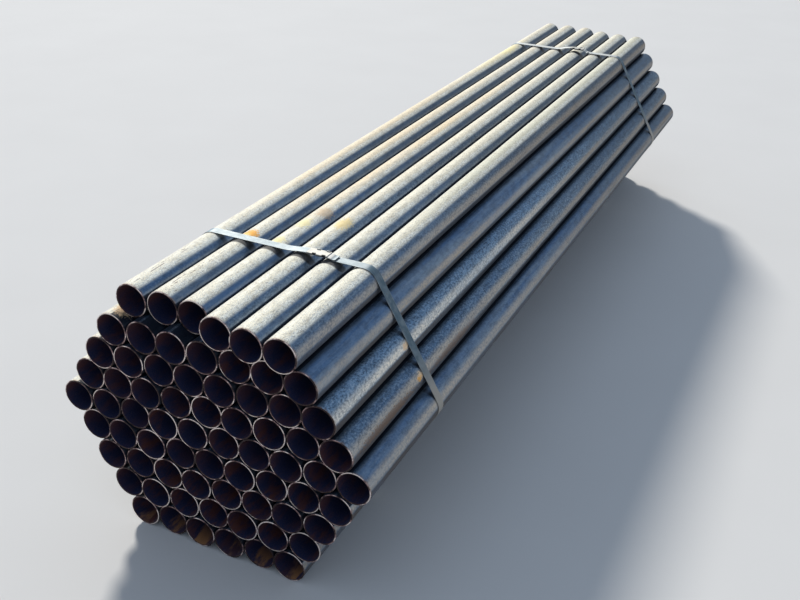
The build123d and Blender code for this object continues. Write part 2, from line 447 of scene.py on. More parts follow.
class PipeSkin(Finish):
    """The outside of the pipes: the patterns that its layers share, and each layer in turn."""

    def __init__(self):
        super().__init__("mill_scale")
        self.tone = self.value("tone")
        self.coarse = self.value("coarse")
        # Which pipes take the crest that is bleached and painted as sunlit
        self.weathered_and_sunlit = self.value("weathered_and_sunlit")
        self.open_air = self.value("open_air")
        place = self.node("SeparateXYZ", {0: self.coords})
        self.across = place.outputs["X"]
        self.along = place.outputs["Y"]
        self.own = self.shift(self.coords, self.tone)
        self.streaks = self.pattern(STREAKS_PER_METRE, detail=5)
        self.cloud = self.pattern(CLOUD_PER_METRE, detail=4, rough=0.55)
        self.mottle = self.pattern(MOTTLE_PER_METRE)
        self.grain = self.pattern(GRAIN_PER_METRE, detail=4, rough=0.7)
        self.fine = self.pattern(FINE_GRAIN_PER_METRE)
        self.speckle = self.pattern(SPECKLE_PER_METRE, detail=4, rough=0.7)

    def pattern(self, per_metre, detail=3, rough=0.6):
        """A pattern that lies differently on each pipe."""
        return self.noise(self.stretch(*per_metre, self.own), detail=detail, rough=rough)

    def scale(self):
        """Blue-grey scale, made bluer with a painted sky reflection, with pits and bright flecks, darker
        towards the far end.
        """
        flakes = self.times(self.band(self.grain, 0.49, 0.60), self.band(self.coarse, 0, 1, 0.10, 0.58))
        glints = self.times(self.band(self.grain, 0.47, 0.36), self.band(self.coarse, 0, 1, 0.05, 0.38))
        colour = self.cover(
            SCALE_BLUE_AND_SKY_REFLECTION,
            (SCALE_GREY, self.band(self.streaks, 0.3, 0.7)),
            (SCALE_LIGHT, self.band(self.coarse, 0.2, 1), LIGHT_SHARE),
            (SCALE_DARK, self.band(self.tone, 0, 1), DARK_SHARE),
            (SCALE_FAR, self.band(self.along, *TOWARDS_BACK), FAR_SHARE),
            (SLATE, self.band(self.along, *SLATE_COMES), self.weathered_and_sunlit, SLATE_SHARE),
            (SCALE_DARK, self.band(self.mottle, 0.40, 0.64), MOTTLE_SHARE),
            (SCALE_DARK, flakes),
            (SCALE_PALE, glints),
        )
        return colour, flakes

    def dust_and_ground_reflection(self, colour):
        """A band of dusting along each side, paler near the front, that also stands in for a painted
        reflection of lit ground, with earth and painted shade below it.
        """
        sinking = self.times(self.band(self.along, *DUST_AND_REFLECTION_SINKS), self.value("band_sink"))
        slope = self.maths("ADD", self.maths("SUBTRACT", self.up, self.value("band_rise")), sinking)
        # The band of dust and painted reflection of lit ground
        dust_and_reflection_band = self.times(
            self.band(slope, *DUST_AND_REFLECTION_TOP),
            self.band(slope, *DUST_AND_REFLECTION_FOOT),
            self.band(self.grain, 0.64, 0.38, 0.5),
            self.band(self.streaks, 0.64, 0.42, 0.6),
            self.band(self.cloud, 0.3, 0.6, 0.7),
            self.open_air,
        )
        brown = self.band(self.pattern(BROWN_PER_METRE, detail=4), 0.50, 0.66)
        dust_and_ground_reflection = self.mix(DUST_AND_GROUND_REFLECTION, BROWN_DUST_AND_REFLECTION, brown, BROWN_SHARE)
        paleness = self.maths("ADD", self.value("band_paleness"), PALE_LEAST)
        pale = self.times(self.band(self.along, *TOWARDS_FRONT), paleness)
        dust_and_ground_reflection = self.mix(dust_and_ground_reflection, PALE_DUST_AND_REFLECTION, pale)
        below = self.times(self.band(slope, *EARTH_TOP), self.band(self.up, *EARTH_FOOT))
        earthy = self.times(below, self.band(self.cloud, 0.38, 0.6, 0.7, 0.95))
        # Painted shade on the undersides, except near the front end
        shaded = self.times(self.band(self.up, *UNDERSIDE_SHADE_TOP), self.band(self.along, *UNDERSIDE_SHADE_COMES))
        underside_shade = self.times(shaded, self.value("underside_shade"))
        dull = self.most(self.times(dust_and_reflection_band, self.band(pale, 0, 1, 1.0, 0.45)), self.most(earthy, underside_shade))
        return self.cover(colour, (dust_and_ground_reflection, dust_and_reflection_band), (EARTH, earthy), (PAINTED_UNDERSIDE_SHADE, underside_shade)), dull

    def bleach_and_sunlight(self, colour):
        """The crest, faded by the sun and also painted as sunlit, with a painted highlight where it
        faces the light most, stained warm and dulled in places, with speckles and scuffs.
        """
        sunny = self.facing(SUNNY_SIDE)
        warm = self.times(
            self.value("stained"),
            self.band(self.along, *STAINS_COME),
            self.band(self.along, *STAINS_FADE, 0.35),
            self.band(self.cloud, 0.36, 0.58, 0.5),
            self.band(self.speckle, 0.3, 0.6, 0.6),
        )
        bleached_and_sunlit = self.cover(
            BLEACHED_AND_SUNLIT,
            (BLEACHED_WARM, warm),
            (BLEACHED_DULL, self.band(self.along, *DULLING_COMES), self.value("dulled")),
            # Painted highlight where the crest faces the light most
            (PAINTED_CREST_HIGHLIGHT, self.band(sunny, *CREST_HIGHLIGHT), CREST_HIGHLIGHT_SHARE),
            (BLEACHED_PATCH, self.band(self.mottle, 0.42, 0.64), PATCH_SHARE),
            (SPECKLE, self.band(self.speckle, 0.50, 0.68), SPECKLE_SHARE),
            (SCUFF, self.scuffs(), SCUFF_SHARE),
        )
        # Where the crest lies, with its bleaching and its painted sunlight
        crest = self.band(sunny, *CREST_STARTS)
        above = self.times(crest, self.band(self.fine, 0.68, 0.40, 0.45, 0.95), self.weathered_and_sunlit)
        return self.mix(colour, bleached_and_sunlit, above), above

    def scuffs(self):
        """Where fine broken lines were scuffed along the crests near the front."""
        scuff = 0.0
        for index, degrees in enumerate(SCUFF_LINES):
            beside = Vector((-math.sin(math.radians(degrees)), 0, math.cos(math.radians(degrees))))
            off_line = self.maths("ABSOLUTE", self.facing(beside))
            moved = self.stretch(*SCUFFS_PER_METRE, self.shift(self.own, index + 1.0))
            dashes = self.band(self.noise(moved, detail=4, rough=0.7), 0.50, 0.58)
            scuff = self.most(scuff, self.times(self.band(off_line, *SCUFF_WIDTH), dashes))
        reach = self.times(self.band(self.along, *SCUFFS_FADE), self.band(self.along, *SCUFFS_COME))
        return self.times(scuff, reach, self.value("scuffed"))

    def rust(self, colour):
        """Rust stains with ragged edges at their own places."""
        rusted = 0.0
        for place, reach, along, strength, rust in RUST_SPOTS:
            nearness = self.near(place, reach, along)
            ragged = self.maths("ADD", nearness, self.band(self.grain, 0.3, 0.7, 0.35, -0.45))
            share = self.times(self.band(ragged, 0.15, 0.6), self.band(nearness, 0.0, 0.3), strength)
            colour = self.mix(colour, rust, share)
            rusted = self.most(rusted, share)
        return colour, rusted

    def painted_strap_shadow(self, colour):
        """A painted shadow: a dark line on the pipes along the front edge of each strap."""
        off_middle = self.maths("ABSOLUTE", self.across)
        at_lap = self.times(self.band(off_middle, *LAP_SPAN), self.band(self.up, *LAP_SLOPE))
        widened = self.maths("ADD", self.along, self.times(at_lap, LAP_SHADOW_WIDTH))
        share = self.times(self.open_air, self.band(at_lap, 0, 1, *STRAP_SHADOW_SHARE))
        for node in ("strap_front", "strap_back"):
            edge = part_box(node)[0].y
            before = self.band(widened, edge - STRAP_SHADOW_REACH, edge - STRAP_SHADOW_FADE)
            under = self.band(self.along, *(edge + reach for reach in STRAP_SHADOW_UNDER))
            colour = self.mix(colour, PAINTED_STRAP_SHADOW, before, under, share)
        return colour


def pipe_outside():
    """Mill scale: blue-grey and pitted, made bluer with a painted sky reflection, faded by the sun above
    and painted as sunlit there with a painted highlight, with dusting on the flank that also stands in
    for a painted reflection of lit ground, with painted shade between and under the pipes and a painted
    shadow before each strap, stained in places.
    """
    skin = PipeSkin()
    colour, flakes = skin.scale()
    colour, dull = skin.dust_and_ground_reflection(colour)
    colour, above = skin.bleach_and_sunlight(colour)
    # Painted shade in the crevices where the pipes touch
    crevice_shade = skin.band(skin.open_air, 0.75, 0.0)
    at_end = skin.times(skin.band(skin.value("from_end"), RIM_REACH, 0.0), skin.open_air)
    rim = skin.times(at_end, skin.band(skin.grain, 0.35, 0.6), RIM_SHARE)
    colour = skin.cover(colour, (PAINTED_CREVICE_SHADE, crevice_shade, CREVICE_SHADE_SHARE), (STAIN, rim))
    colour, rusted = skin.rust(colour)
    dull = skin.most(dull, skin.most(rusted, rim))
    skin.give("Metallic", skin.band(dull, 0, 1, CLEAN_METAL, DULL_METAL))
    flaky = skin.maths("ADD", dull, skin.times(flakes, 0.6))
    rough = skin.band(flaky, 0, 1.3, CLEAN_ROUGH, DULL_ROUGH)
    rough = skin.most(rough, skin.band(above, 0.0, 0.7, CLEAN_ROUGH, BLEACHED_ROUGH))
    rough = skin.most(rough, skin.band(crevice_shade, 0.3, 1.0, CLEAN_ROUGH, SHELTERED_ROUGH))
    relief = skin.bump(skin.fine, FINE_GRAIN_RELIEF, skin.bump(skin.grain, GRAIN_RELIEF))
    return skin.wear(skin.painted_strap_shadow(colour), rough, relief)


def cut_end():
    """A sawn end: rusted steel, tan or bright where rubbing shows, the brightest patches also painted
    highlights, and dark at its outer edge.
    """
    finish = Finish("sawn_end", metallic=0.3)
    tone = finish.value("tone")
    coords = finish.shift(finish.coords, tone)
    patch = finish.noise(coords, 34, detail=4, rough=0.6)
    grit = finish.noise(coords, 900)
    rubbed_and_glinting = finish.maths("ADD", finish.band(patch, 0.34, 0.66), finish.band(tone, 0, 1, -0.25, 0.25))
    colour = finish.cover(
        CUT_RUSTED,
        (CUT_TAN, finish.band(rubbed_and_glinting, 0.18, 0.58)),
        (CUT_RUBBED_AND_GLINT, finish.band(rubbed_and_glinting, 0.50, 0.80)),
        (CUT_OUTER_EDGE, finish.band(finish.value("outer_rim"), 0.65, 0.28)),
        (CUT_GRIT, finish.band(grit, 0.55, 0.7)),
    )
    finish.give("Specular IOR Level", RUSTY_GLOSS)
    saw = finish.noise(finish.stretch(*SAW_MARKS_PER_METRE, coords), detail=2)
    return finish.wear(colour, finish.band(patch, 0.3, 0.7, 0.6, 0.4), finish.bump(saw, SAW_RELIEF))


def pipe_bore():
    """The inside of a pipe: rust, painted reddish above as if lit by warm bounce light and blue-black
    below as if lit by blue sky, with earth in the lowest ones.
    """
    finish = Finish("rusty_bore")
    tone = finish.value("tone")
    from_end = finish.value("from_end")
    coords = finish.shift(finish.coords, tone)
    cloud = finish.noise(finish.stretch(*BORE_CLOUD_PER_METRE, coords), detail=5, rough=0.6)
    grit = finish.noise(coords, 500, detail=4)
    lying = finish.maths("ADD", finish.up, finish.band(cloud, 0.3, 0.7, 0.12, -0.30))
    settled = finish.times(finish.band(lying, 0.72, 0.96), finish.band(from_end, *EARTH_REACH))
    colour = finish.cover(
        BORE_ROOF_RUST_AND_BOUNCE,
        # Painted skylight on the bore's floor, over the painted bounce light of its roof
        (BORE_FLOOR_PAINTED_SKYLIGHT, finish.band(finish.up, -0.4, 0.5)),
        (BORE_RUST, finish.band(cloud, 0.44, 0.65), finish.band(tone, 0, 1, 0.3)),
        (BORE_MOUTH, finish.band(from_end, MOUTH_REACH, 0.0), finish.band(grit, 0.45, 0.7), 0.4),
        (BORE_EARTH, settled, finish.value("earthy")),
    )
    finish.give("Specular IOR Level", RUSTY_GLOSS)
    return finish.wear(colour, finish.band(grit, 0.3, 0.7, 0.9, 0.65), finish.bump(grit, BORE_RELIEF))


def strap_finish():
    """Blued steel strapping, worn by rubbing along its edges, bare on its tail, paler over the top with
    painted sunlight, and with dusting lower down that also stands in for a painted reflection of lit
    ground.
    """
    finish = Finish("blued_strapping", metallic=0.85)
    lines = finish.noise(finish.stretch(*STRAP_LINES_PER_METRE))
    cloud = finish.noise(finish.coords, 70, detail=4)
    dirt = finish.noise(finish.coords, 260, detail=4)
    worn = finish.band(finish.value("edge"), 0.5, 1.0)
    height = finish.node("SeparateXYZ", {0: finish.coords}).outputs["Z"]
    colour = finish.cover(
        STRAP_BLUED,
        (STRAP_DULLED, finish.band(cloud, 0.35, 0.65)),
        (STRAP_RUBBED, worn, finish.band(cloud, 0.35, 0.6, 0.4), 0.6),
        (STRAP_BARED_AND_LIT, finish.value("bared_and_lit")),
        (STRAP_DIRT, finish.band(dirt, 0.60, 0.74), 0.35),
        # Dust and a painted reflection of lit ground, lower down
        (STRAP_DUST_AND_REFLECTION, finish.band(finish.up, 0.95, 0.60), finish.band(height, *STRAP_DUST_AND_REFLECTION_HEIGHTS), 0.9),
    )
    rough = finish.band(lines, 0.3, 0.7, 0.66, 0.76)
    return finish.wear(colour, rough, finish.bump(lines, SHEET_RELIEF))


def seal_finish():
    """Pale zinc, dulled, with fine scratches and painted shade under its folded edges."""
    finish = Finish("zinc_seal", metallic=0.55)
    cloud = finish.noise(finish.coords, 160, detail=4)
    scratches = finish.noise(finish.stretch(*SCRATCHES_PER_METRE), detail=2)
    colour = finish.cover(
        ZINC_DARK,
        (ZINC_PALE, finish.band(cloud, 0.35, 0.7)),
        (ZINC_SCRATCH, finish.band(scratches, 0.62, 0.72), 0.4),
        # Painted shade where the seal's edges turn under and face the front
        (ZINC_PAINTED_SHADE, finish.band(finish.facing(UNDER_FRONT), -0.15, 0.10), finish.value("under_fold_shade")),
    )
    rough = finish.band(cloud, 0.3, 0.7, 0.60, 0.74)
    return finish.wear(colour, rough, finish.bump(scratches, SHEET_RELIEF))


# The angle from which an edge between two faces counts as hard
HARD_EDGE = math.radians(50)


class MeshParts:
    """Points, faces and point values gathered for one mesh."""

    def __init__(self):
        self.points = []
        self.faces = []
        self.slots = []
        self.values = {}

    def add_point(self, point, **values):
        self.points.append(point)
        for name, value in values.items():
            self.values.setdefault(name, []).append(value)
        return len(self.points) - 1

    def add_face(self, corners, slot=0):
        self.faces.append(corners)
        self.slots.append(slot)

    def add_tube(self, rings, slots):
        """Joins rings of points, each a list of point numbers, into one skin that closes on itself."""
        for first, second, slot in zip(rings, rings[1:] + rings[:1], slots):
            for index in range(len(first)):
                after = (index + 1) % len(first)
                self.add_face((first[index], first[after], second[after], second[index]), slot)

    def add_sheet(self, lines, thickness, missing, **values):
        """A sheet of metal from a grid of (middle point, normal), with some of its cells left out.

        A value is a list with one number for each place along a grid line.
        """
        numbers = []
        for line in lines:
            sides = []
            for step, (point, normal) in enumerate(line):
                own = {name: steps[step] for name, steps in values.items()}
                above = self.add_point(point + normal * thickness / 2, **own)
                below = self.add_point(point - normal * thickness / 2, **own)
                sides.append((above, below))
            numbers.append(sides)
        rows = len(lines) - 1
        columns = len(lines[0]) - 1
        present = {(i, j) for i in range(rows) for j in range(columns)} - set(missing)
        for i, j in present:
            corners = [numbers[i][j], numbers[i + 1][j], numbers[i + 1][j + 1], numbers[i][j + 1]]
            self.add_face(tuple(above for above, below in corners))
            self.add_face(tuple(below for above, below in reversed(corners)))
            beside = [(i, j - 1), (i + 1, j), (i, j + 1), (i - 1, j)]
            for side, other in enumerate(beside):
                if other not in present:
                    first = corners[side]
                    second = corners[(side + 1) % 4]
                    self.add_face((first[0], first[1], second[1], second[0]))

    def to_object(self, name, materials, edge_width=0.0):
        mesh = bpy.data.meshes.new(name)
        mesh.from_pydata(self.points, [], self.faces)
        mesh.polygons.foreach_set("material_index", self.slots)
        mesh.shade_smooth()
        for value_name, gathered in self.values.items():
            attribute = mesh.attributes.new(value_name, "FLOAT", "POINT")
            attribute.data.foreach_set("value", gathered)
        for material in materials:
            mesh.materials.append(material)
        mesh.validate()
        if edge_width:
            round_sharp_edges(mesh, edge_width)
        return add_object(name, mesh)


def add_object(name, data):
    """A new object in the scene."""
    made = bpy.data.objects.new(name, data)
    bpy.context.scene.collection.objects.link(made)
    return made


def round_sharp_edges(mesh, width):
    """Takes the sharpness off every hard edge of a mesh."""
    work = bmesh.new()
    work.from_mesh(mesh)
    bmesh.ops.recalc_face_normals(work, faces=work.faces)
    hard = [edge for edge in work.edges if edge.is_manifold and edge.calc_face_angle() > HARD_EDGE]
    bmesh.ops.bevel(
        work, geom=hard, offset=width, segments=2, profile=0.5, affect="EDGES", clamp_overlap=True
    )
    work.to_mesh(mesh)
    work.free()
    mesh.shade_smooth()


# The points of a pipe lie within this distance of its axis, and those of the pipes beside it don't
OWN_REACH = 1.005 * PIPE_RADIUS


def row_pipes(node):
    """Each pipe of a row, as the x and z of its axis and the y of its two ends."""
    low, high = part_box(node)
    points = [vertex.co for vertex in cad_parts[node].data.vertices]
    count = round((high.x - low.x - 2 * PIPE_RADIUS) / PIPE_PITCH) + 1
    pipes = []
    for place in range(count):
        x = low.x + PIPE_RADIUS + place * PIPE_PITCH
        reach = [point.y for point in points if abs(point.x - x) < OWN_REACH]
        pipes.append((x, (low.z + high.z) / 2, min(reach), max(reach)))
    return pipes


BUNDLE = {node: row_pipes(node) for node in ROW_NODES}
PIPE_AXES = [Vector((x, z)) for pipes in BUNDLE.values() for x, z, front, back in pipes]
CREST_Z = BUNDLE["pipe_row_9"][0][1] + PIPE_RADIUS


def open_air(x, z, angle):
    """How far the bundle leaves a pipe's side open: none at a contact, one with nothing beside it."""
    outward = Vector((math.cos(angle), math.sin(angle)))
    start = Vector((x, z)) + outward * PIPE_RADIUS
    nearest = 2 * PIPE_RADIUS
    for axis in PIPE_AXES:
        towards = axis - start
        ahead = towards.dot(outward)
        aside = (towards - outward * ahead).length
        if 0 < ahead < 4 * PIPE_RADIUS and aside < PIPE_RADIUS:
            reached = ahead - math.sqrt(PIPE_RADIUS ** 2 - aside ** 2)
            nearest = min(nearest, reached)
    return max(0.0, nearest) / (2 * PIPE_RADIUS)


def even_stops(start, end, step):
    """Evenly spaced places from start to end, both included."""
    count = max(1, round(abs(end - start) / step))
    return [start + (end - start) * index / count for index in range(count + 1)]


# The surfaces of a pipe, in the order of its materials
OUTSIDE, END, BORE = range(3)

# How pitted and how dark the last pipe of each row is, from the bottom row up
FLANK_COARSE = (0.3, 0.4, 0.5, 0.6, 0.25, 0.7, 1.0, 0.1, 0.5)
FLANK_TONE = (0.3, 0.5, 0.7, 0.4, 0.35, 0.60, 0.05, 0.22, 0.58)

# How stained and how dull each crest of the top row is, from the left
TOP_STAINED = (0.75, 0.8, 1.0, 0.35, 0.25, 0.3)
TOP_DULLED = (0.0, 0.0, 0.0, 0.1, 0.3, 1.0)

# How high each row's dusty band, partly a painted reflection of lit ground, lies on its side, how far it
# sinks along it, and how pale it is
BAND_RISE = (0.1, 0.1, 0.15, 0.15, 0.17, 0.19, 0.17, 0.0, 0.0)
BAND_SINK = (0.0, 0.0, 0.0, 0.05, 0.05, 0.21, 0.20, 0.14, 0.0)
BAND_PALE = (0.0, 0.0, 0.0, 0.1, 0.1, 0.1, 0.78, 0.0, 0.05)

# How dark the painted shade below each row's dusty band is
UNDERSIDE_SHADE_SHARE = (0.0, 0.0, 0.0, 0.0, 0.0, 0.92, 0.92, 0.32, 0.75)

# How many pipes of the top row, from the left, have scuff lines
SCUFFED_PIPES = 2

# How far the wall's unevenness and the burrs change from pipe to pipe, round a pipe and along it
RELIEF_PER_PIPE = 50
RELIEF_ACROSS = 1.3
RELIEF_PER_METRE = 9
BURRS_ACROSS = 5
BURRS_PER_METRE = 300


def pipe_profile(length, step):
    """The pipe's wall in section, as (distance from the front, radius, surface after it)."""
    outside = [(y, PIPE_RADIUS, OUTSIDE) for y in even_stops(END_ZONE, length - END_ZONE, step)]
    front_out = [(EDGE_ROUND, PIPE_RADIUS, OUTSIDE), (EDGE_SHOULDER, PIPE_RADIUS, OUTSIDE)]
    back_out = [(length - EDGE_SHOULDER, PIPE_RADIUS, OUTSIDE), (length - EDGE_ROUND, PIPE_RADIUS, END)]
    face = [
        (EDGE_CUT, PIPE_RADIUS - EDGE_CUT, END),
        (0, PIPE_RADIUS - EDGE_ROUND, END),
        (0, BORE_RADIUS + EDGE_ROUND, END),
        (EDGE_CUT, BORE_RADIUS + EDGE_CUT, END),
    ]
    back_face = [(length - y, radius, surface) for y, radius, surface in face]
    stops = [EDGE_ROUND, EDGE_SHOULDER, *BORE_STOPS]
    back_bore = [(length - stop, BORE_RADIUS, BORE) for stop in stops]
    front_bore = [(stop, BORE_RADIUS, BORE) for stop in reversed(stops)]
    front_bore[-1] = (EDGE_ROUND, BORE_RADIUS, END)
    return front_out + outside + back_out + back_face + back_bore + front_bore + face[::-1]


def add_pipe(parts, pipe, exposed, values):
    """One pipe: a closed tube with rounded, slightly burred ends and a faintly uneven wall."""
    x, z, front, back = pipe
    length = back - front
    profile = pipe_profile(length, OUTER_STEP if exposed else HIDDEN_STEP)
    own = Vector((values["tone"] * RELIEF_PER_PIPE, 0, 0))
    angles = [2 * math.pi * side / PIPE_SIDES for side in range(PIPE_SIDES)]
    openness = [open_air(x, z, angle) for angle in angles]
    rings = []
    for y, radius, surface in profile:
        ring = []
        from_end = min(y, length - y)
        outer_rim = (radius - BORE_RADIUS) / PIPE_WALL
        for side, angle in enumerate(angles):
            across = Vector((math.cos(angle), 0, math.sin(angle)))
            place = own + across * RELIEF_ACROSS + Vector((0, y * RELIEF_PER_METRE, 0))
            uneven = RELIEF * abs(noise.noise(place))
            pull = 0.0
            if from_end < 2 * EDGE_ROUND:
                place = own + across * BURRS_ACROSS + Vector((0, y, radius * BURRS_PER_METRE))
                pull = BURR * abs(noise.noise(place))
            inward = uneven if radius > BORE_RADIUS + EDGE_ROUND else -uneven
            shift = pull if y < length / 2 else -pull
            point = Vector((x, front + y + shift, z)) + across * (radius - inward)
            ring.append(parts.add_point(
                point, from_end=from_end, open_air=openness[side], outer_rim=outer_rim, **values
            ))
        rings.append(ring)
    parts.add_tube(rings, [surface for y, radius, surface in profile])


def pipe_values(number, place, on_flank, on_top):
    """What is the same all over one pipe, drawn at random where the photograph doesn't show it."""
    tone = random.random()
    return {
        "tone": FLANK_TONE[number] if on_flank else tone,
        "coarse": FLANK_COARSE[number] if on_flank else random.random(),
        "stained": TOP_STAINED[place] if on_top else random.random() ** 2,
        "dulled": TOP_DULLED[place] if on_top else 0.0,
        # The top row and the leftmost pipes take the bleached crest with painted sunlight
        "weathered_and_sunlit": 1.0 if place == 0 or on_top else 0.0,
        "scuffed": 1.0 if place < SCUFFED_PIPES and on_top else 0.0,
        "band_rise": BAND_RISE[number],
        "band_sink": BAND_SINK[number],
        "band_paleness": BAND_PALE[number],
        "underside_shade": UNDERSIDE_SHADE_SHARE[number],
        "earthy": 1.0 if number == 0 else 0.0,
    }


def pipe_row(node, number, materials):
    """The pipes of one row as one piece."""
    parts = MeshParts()
    pipes = BUNDLE[node]
    on_top = number == TOP_ROW
    for place, pipe in enumerate(pipes):
        on_flank = place == len(pipes) - 1
        exposed = place == 0 or on_flank or number == 0 or on_top
        add_pipe(parts, pipe, exposed, pipe_values(number, place, on_flank, on_top))
    dress(parts, node.replace("pipe_row", "pipes_row"), node, materials)


def dress(parts, name, node, materials, edge_width=0.0):
    """Makes a piece that stands for one node of the frame and moves with the bundle."""
    piece = parts.to_object(name, materials, edge_width)
    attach(piece, "root")
    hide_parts(node)


def outward_angle(start, end):
    """The direction, square to the run between two circles, that points out of the bundle."""
    run_x = end[0] - start[0]
    run_z = end[1] - start[1]
    narrowing = math.asin((start[2] - end[2]) / math.hypot(run_x, run_z))
    return math.atan2(run_z, run_x) - narrowing + math.pi / 2


# The pipes that the strap bends round, by row and place, clockwise from the top right
CORNER_PIPES = (("pipe_row_9", -1), ("pipe_row_5", -1), ("pipe_row_1", -1),
                ("pipe_row_1", 0), ("pipe_row_5", 0), ("pipe_row_9", 0))


def strap_route(seal_x, lap_z):
    """The circles, as x, z and radius, that the strap passes round from one end to the other."""
    corners = []
    for node, place in CORNER_PIPES:
        x, z, front, back = BUNDLE[node][place]
        corners.append((x, z, PIPE_RADIUS + STRAP_CLEARANCE))
    left = seal_x - SEAL_LENGTH / 2 - TAIL
    right = seal_x + SEAL_LENGTH / 2 + TAIL
    outer_z = lap_z + STRAP_THICKNESS + LAP_GAP
    inner_lap = [(x, lap_z - LAP_BEND_RADIUS, LAP_BEND_RADIUS) for x in (left, right)]
    outer_lap = [(x, outer_z - LAP_BEND_RADIUS, LAP_BEND_RADIUS) for x in (left, right)]
    return [*inner_lap, *corners, *outer_lap]


def bend_up(point, seal_x):
    """Where the crimp takes a point of the lap: its notched edges turn up about the notches' roots.

    The point is given as x, across and height above the lap's underside.
    """
    x, across, height = point
    off_middle = abs(abs(x - seal_x) - CRIMP_SPACING / 2)
    beyond = abs(across) - CRIMP_ROOT
    if off_middle > CRIMP_TAB_LENGTH / 2 + HAIR or beyond <= 0:
        return point
    fold = LAP_HEIGHT + SEAL_FIT
    turn = min(beyond / CRIMP_BEND_RADIUS, CRIMP_BEND)
    straight = beyond - turn * CRIMP_BEND_RADIUS
    radius = CRIMP_BEND_RADIUS + fold - height
    out = radius * math.sin(turn) + straight * math.cos(turn)
    rise = fold + CRIMP_BEND_RADIUS - radius * math.cos(turn) + straight * math.sin(turn)
    return x, math.copysign(CRIMP_ROOT + out, across), rise


def crimp_edges(seal_x):
    """Where along the lap the cuts of the crimps begin and end."""
    edges = []
    for middle in (seal_x - CRIMP_SPACING / 2, seal_x + CRIMP_SPACING / 2):
        for half in (CRIMP_LENGTH / 2, CRIMP_TAB_LENGTH / 2):
            edges += [middle - half, middle + half]
    return sorted(edges)


def cut_cells(stops, lanes, crimp_x):
    """The cells of a grid over the lap that are cut away beside the bent-up tabs."""
    cells = []
    for i, (start, end) in enumerate(zip(stops, stops[1:])):
        off_middle = abs(abs((start + end) / 2 - crimp_x) - CRIMP_SPACING / 2)
        for j, (near, far) in enumerate(zip(lanes, lanes[1:])):
            beyond_root = abs(near + far) / 2 > CRIMP_ROOT
            if beyond_root and CRIMP_TAB_LENGTH / 2 < off_middle < CRIMP_LENGTH / 2:
                cells.append((i, j))
    return cells


def crimp_lanes(half_width):
    """Places across the lap that let its edges bend smoothly, from the middle outwards."""
    bend = CRIMP_BEND_RADIUS * CRIMP_BEND
    lanes = [CRIMP_ROOT + bend * share for share in (0, 1 / 3, 2 / 3, 1)]
    return [lane for lane in lanes if lane < half_width]


def clear_stops(stops, edges, gap):
    """The stops together with the edges of the cuts, without the stops that come too near a cut."""
    clear = [stop for stop in stops if min(abs(stop - edge) for edge in edges) > gap]
    return sorted(clear + edges)


def taut_stations(route, crimp_x):
    """Places along the strap's inner face, as (place, outward direction, whether it is in the lap)."""
    angles = [outward_angle(start, end) for start, end in zip(route, route[1:])]
    stations = []
    for index, angle in enumerate(angles):
        outward = Vector((math.cos(angle), 0, math.sin(angle)))
        ends = []
        for x, z, radius in route[index:index + 2]:
            ends.append(Vector((x, 0, z)) + outward * radius)
        lap = index in (0, len(angles) - 1)
        run = ends[1] - ends[0]
        shares = even_stops(0, 1, RUN_STEP / run.length)
        if lap:
            cuts = [(x - ends[0].x) / run.x for x in crimp_edges(crimp_x)]
            shares = clear_stops(even_stops(0, 1, LAP_STEP / run.length), cuts, LAP_CUT_GAP)
        for share in shares:
            stations.append((ends[0] + run * share, outward, lap))
        if index + 1 < len(angles):
            x, z, radius = route[index + 1]
            turn = (angle - angles[index + 1]) % (2 * math.pi)
            for step in even_stops(0, turn, ARC_STEP)[1:-1]:
                outward = Vector((math.cos(angle - step), 0, math.sin(angle - step)))
                stations.append((Vector((x, 0, z)) + outward * radius, outward, False))
    return stations


def smooth(share):
    """Smoothly from none at zero to one at one, and level beyond."""
    share = min(1.0, max(0.0, share))
    return share * share * (3 - 2 * share)


def settling(place, outward, outer, seal_x):
    """How far the strap sinks beside its seal, where it bends down onto the pipes' crests."""
    if outward.z < OVER_TOP:
        return 0.0
    rest_z = CREST_Z + STRAP_CLEARANCE
    from_seal = abs(place.x - seal_x) - SEAL_LENGTH / 2
    if outer:
        from_inner_end = place.x - seal_x + SEAL_LENGTH / 2 + TAIL
        rest_z += (STRAP_THICKNESS + LAP_GAP) * smooth(from_inner_end / STEP_UP + 1)
    reach = SETTLING_LEFT if place.x < seal_x else SETTLING_RIGHT
    return max(0.0, place.z - rest_z) * smooth(from_seal / reach)


def strap_lines(stations, lanes, seal_x, crimp_x, lap_z, y, drift):
    """The strap's middle face as grid lines across it, crimped in the lap and eased at its tail."""
    lines = []
    for index, (place, outward, lap) in enumerate(stations):
        outer = index > len(stations) / 2
        sink = settling(place, outward, outer, seal_x)
        tail = 0.0
        if lap and outer:
            tail = max(0.0, place.x - seal_x - SEAL_LENGTH / 2) / TAIL
        line = []
        for across in lanes:
            height = place.z - lap_z + STRAP_THICKNESS / 2
            normal = outward
            point = place + outward * STRAP_THICKNESS / 2 + Vector((0, across, 0))
            if lap:
                x, bent, bent_height = bend_up((place.x, across, height), crimp_x)
                if bent_height != height:
                    lean = -math.copysign(math.sin(CRIMP_BEND), across)
                    normal = Vector((0, lean, math.cos(CRIMP_BEND)))
                point = Vector((x, bent, lap_z + bent_height))
            point += Vector((0, y + drift * tail ** 2, TAIL_RISE * tail ** 2 - sink))
            line.append((point, normal))
        lines.append(line)
    return lines


def bareness_and_light(points, lap_z, tail_start, top_bared_and_lit):
    """How bare the strap is at each point: wholly on its outer tail, and partly over the top, where the
    paleness also stands in for painted sunlight.
    """
    shares = []
    for number, point in enumerate(points):
        on_tail = number > len(points) / 2 and point.z > lap_z and point.x > tail_start
        # Paler over the top: partly bare metal, partly painted sunlight
        over_top = top_bared_and_lit if point.z > CREST_Z else 0.0
        shares.append(1.0 if on_tail else over_top)
    return shares


